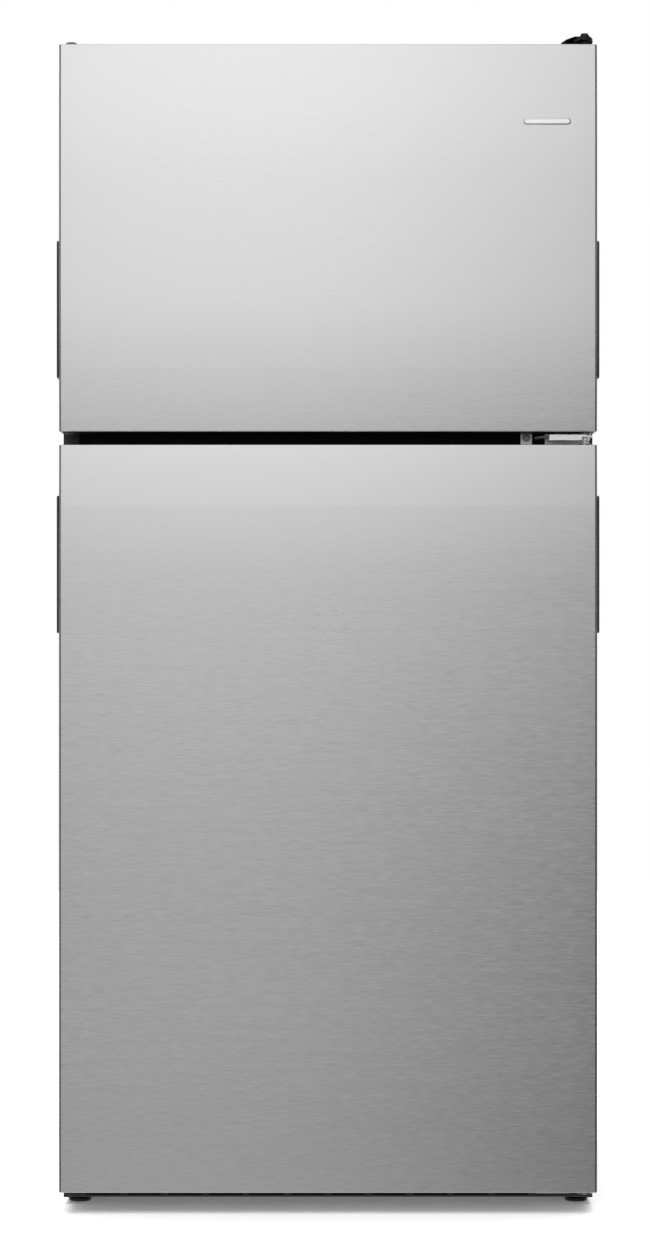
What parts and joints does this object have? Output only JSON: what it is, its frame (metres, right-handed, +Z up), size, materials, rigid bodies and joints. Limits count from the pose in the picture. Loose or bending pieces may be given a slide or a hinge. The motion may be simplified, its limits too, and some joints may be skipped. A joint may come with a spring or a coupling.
{
  "type": "top freezer refrigerator",
  "caption": "Upright two-door household refrigerator with a freezer above, side-grip stainless doors hinged on the right, shelves, drawers and door bins.",
  "frame": {"origin": "centre of the footprint, on the floor under the feet and wheels", "axes": "+Z up, -Y towards the person at the doors, +X to that person's right, where the door hinges are"},
  "size_m": [0.761, 0.7736, 1.66],
  "materials": {
    "stainless": "horizontally brushed stainless sheet",
    "black_steel": "black textured paint on steel sheet",
    "galvanised_steel": "galvanised sheet",
    "zinc_steel": "zinc plated pressed steel",
    "foam": "rigid insulating foam",
    "white_liner": "vacuum formed white plastic",
    "white_plastic": "moulded white plastic",
    "black_plastic": "fine grained black plastic",
    "grey_plastic": "fine grained dark grey plastic",
    "seal": "dark grey flexible seal",
    "clear_plastic": "clear moulded plastic",
    "shelf_glass": "toughened float glass",
    "white_wire": "white coated steel wire",
    "compressor_paint": "black enamel on drawn steel",
    "coil_paint": "black painted steel tube",
    "fin_aluminium": "bare finned aluminium",
    "chrome": "bright plated",
    "bulb_glass": "frosted lamp glass",
    "cover_board": "pressed board, dark",
    "wheel_plastic": "hard moulded plastic"
  },
  "bodies": {
    "cabinet": {"cabinet_shell": "black_steel", "cabinet_back": "galvanised_steel", "insulation": "foam", "freezer_liner": "white_liner", "refrigerator_liner": "white_liner", "mullion_rail": "black_steel", "base_frame": "zinc_steel", "base_grille": "black_plastic", "compressor": "compressor_paint", "condenser_coil": "coil_paint", "condenser_fan_mount": "black_plastic", "drain_pan": "black_plastic", "rear_cover": "cover_board", "evaporator": "fin_aluminium", "evaporator_cover": "white_plastic", "evaporator_fan_motor": "white_plastic", "freezer_shelf": "white_wire", "shelf_frames": "white_plastic", "shelf_glass": "shelf_glass", "control_housing": "white_plastic", "light_bulb": "bulb_glass", "air_tower": "white_plastic", "mullion_plugs": "grey_plastic", "top_hinge": "zinc_steel", "centre_hinge": "zinc_steel", "bottom_hinge": "zinc_steel", "top_hinge_cover": "black_plastic", "hinge_fasteners": "zinc_steel"},
    "freezer_door": {"freezer_door_skin": "stainless", "freezer_door_end_caps": "grey_plastic", "freezer_door_foam": "foam", "freezer_door_liner": "white_liner", "freezer_door_gasket": "seal", "freezer_door_grips": "grey_plastic", "freezer_door_plugs": "grey_plastic", "freezer_door_bins": "clear_plastic", "badge": "chrome"},
    "fridge_door": {"fridge_door_skin": "stainless", "fridge_door_end_caps": "grey_plastic", "fridge_door_foam": "foam", "fridge_door_liner": "white_liner", "fridge_door_gasket": "seal", "fridge_door_grips": "grey_plastic", "fridge_door_plugs": "grey_plastic", "fridge_door_bins": "clear_plastic"},
    "light_switch_plunger": {"light_switch_plunger": "white_plastic"},
    "levelling_leg_right": {"levelling_leg_right": "zinc_steel"},
    "levelling_leg_left": {"levelling_leg_left": "zinc_steel"},
    "rear_wheel_right": {"rear_wheel_right": "wheel_plastic"},
    "rear_wheel_left": {"rear_wheel_left": "wheel_plastic"},
    "condenser_fan": {"condenser_fan": "black_plastic"},
    "evaporator_fan": {"evaporator_fan": "white_plastic"},
    "crisper_right": {"crisper_right": "clear_plastic"},
    "crisper_left": {"crisper_left": "clear_plastic"},
    "humidity_slider_right": {"humidity_slider_right": "grey_plastic"},
    "humidity_slider_left": {"humidity_slider_left": "grey_plastic"},
    "meat_pan": {"meat_pan": "clear_plastic"},
    "freezer_control_knob": {"freezer_control_knob": "white_plastic"},
    "fridge_control_knob": {"fridge_control_knob": "white_plastic"},
    "dairy_lid": {"dairy_lid": "clear_plastic"}
  },
  "joints": [
    {"name": "freezer_door_hinge", "type": "hinge", "parent": "cabinet", "child": "freezer_door", "pos_m": [0.362, -0.356, 1.38], "axis": [0, 0, 1], "range_deg": [0, 135]},
    {"name": "fridge_door_hinge", "type": "hinge", "parent": "cabinet", "child": "fridge_door", "pos_m": [0.362, -0.356, 0.55], "axis": [0, 0, 1], "range_deg": [0, 135]},
    {"name": "crisper_right_slide", "type": "slide", "parent": "cabinet", "child": "crisper_right", "axis": [0, -1, 0], "range_m": [0, 0.26]},
    {"name": "crisper_left_slide", "type": "slide", "parent": "cabinet", "child": "crisper_left", "axis": [0, -1, 0], "range_m": [0, 0.26]},
    {"name": "meat_pan_slide", "type": "slide", "parent": "cabinet", "child": "meat_pan", "axis": [0, -1, 0], "range_m": [0, 0.26]},
    {"name": "light_switch_slide", "type": "slide", "parent": "cabinet", "child": "light_switch_plunger", "axis": [0, -1, 0], "range_m": [0, 0.006]},
    {"name": "dairy_lid_hinge", "type": "hinge", "parent": "fridge_door", "child": "dairy_lid", "pos_m": [-0.1455, -0.316, 0.938], "axis": [1, 0, 0], "range_deg": [0, 50]},
    {"name": "freezer_control_turn", "type": "hinge", "parent": "cabinet", "child": "freezer_control_knob", "pos_m": [0.084, -0.158, 1.022], "axis": [0, 1, 0], "range_deg": [-120, 120]},
    {"name": "fridge_control_turn", "type": "hinge", "parent": "cabinet", "child": "fridge_control_knob", "pos_m": [-0.084, -0.158, 1.022], "axis": [0, 1, 0], "range_deg": [-120, 120]},
    {"name": "humidity_right_slide", "type": "slide", "parent": "cabinet", "child": "humidity_slider_right", "axis": [1, 0, 0], "range_m": [-0.02, 0.02]},
    {"name": "humidity_left_slide", "type": "slide", "parent": "cabinet", "child": "humidity_slider_left", "axis": [1, 0, 0], "range_m": [-0.02, 0.02]},
    {"name": "condenser_fan_spin", "type": "hinge", "parent": "cabinet", "child": "condenser_fan", "pos_m": [-0.038, 0.262, 0.122], "axis": [1, 0, 0], "continuous": true},
    {"name": "evaporator_fan_spin", "type": "hinge", "parent": "cabinet", "child": "evaporator_fan", "pos_m": [0, 0.278, 1.492], "axis": [0, 1, 0], "continuous": true},
    {"name": "rear_wheel_right_spin", "type": "hinge", "parent": "cabinet", "child": "rear_wheel_right", "pos_m": [0.353, 0.345, 0.015], "axis": [1, 0, 0], "continuous": true},
    {"name": "rear_wheel_left_spin", "type": "hinge", "parent": "cabinet", "child": "rear_wheel_left", "pos_m": [-0.353, 0.345, 0.015], "axis": [1, 0, 0], "continuous": true},
    {"name": "levelling_leg_right_screw", "type": "slide", "parent": "cabinet", "child": "levelling_leg_right", "axis": [0, 0, -1], "range_m": [0, 0.02]},
    {"name": "levelling_leg_left_screw", "type": "slide", "parent": "cabinet", "child": "levelling_leg_left", "axis": [0, 0, -1], "range_m": [0, 0.02]}
  ],
  "couplings": [
    {"joint": "crisper_right_slide", "follows": "fridge_door_hinge", "m_per_rad": 0.1103},
    {"joint": "crisper_left_slide", "follows": "fridge_door_hinge", "m_per_rad": 0.1103},
    {"joint": "meat_pan_slide", "follows": "fridge_door_hinge", "m_per_rad": 0.1103},
    {"joint": "light_switch_slide", "follows": "fridge_door_hinge", "m_per_rad": 0.0025}
  ]
}
